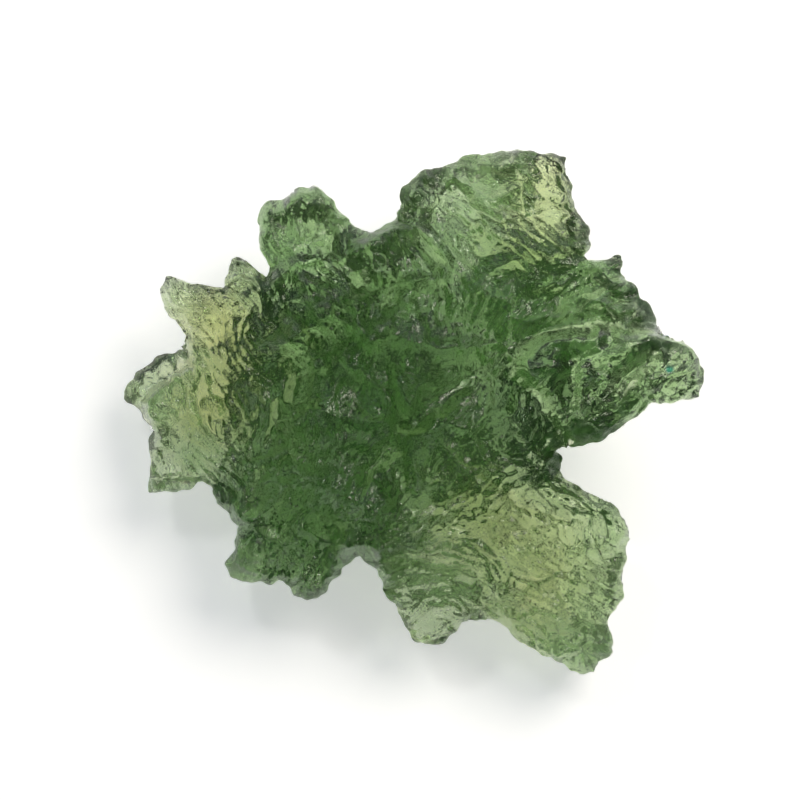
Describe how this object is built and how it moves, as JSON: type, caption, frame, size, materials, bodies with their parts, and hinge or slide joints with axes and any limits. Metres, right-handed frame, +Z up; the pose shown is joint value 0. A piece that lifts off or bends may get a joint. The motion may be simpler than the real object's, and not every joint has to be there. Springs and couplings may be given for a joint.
{
  "type": "moldavite",
  "caption": "Natural green tektite glass, a deeply etched spiky piece with lobes and horns, for display or setting on a surface.",
  "frame": {"origin": "middle of the stone's outline in plan, at the level of its feet", "axes": "+Z up out of the surface it rests on, +X along its widest spread, +Y away from a viewer in front"},
  "size_m": [0.0284, 0.026, 0.013],
  "materials": {
    "tektite_glass": "etched, glossy"
  },
  "bodies": {
    "root": {"moldavite": "tektite_glass"}
  },
  "joints": []
}
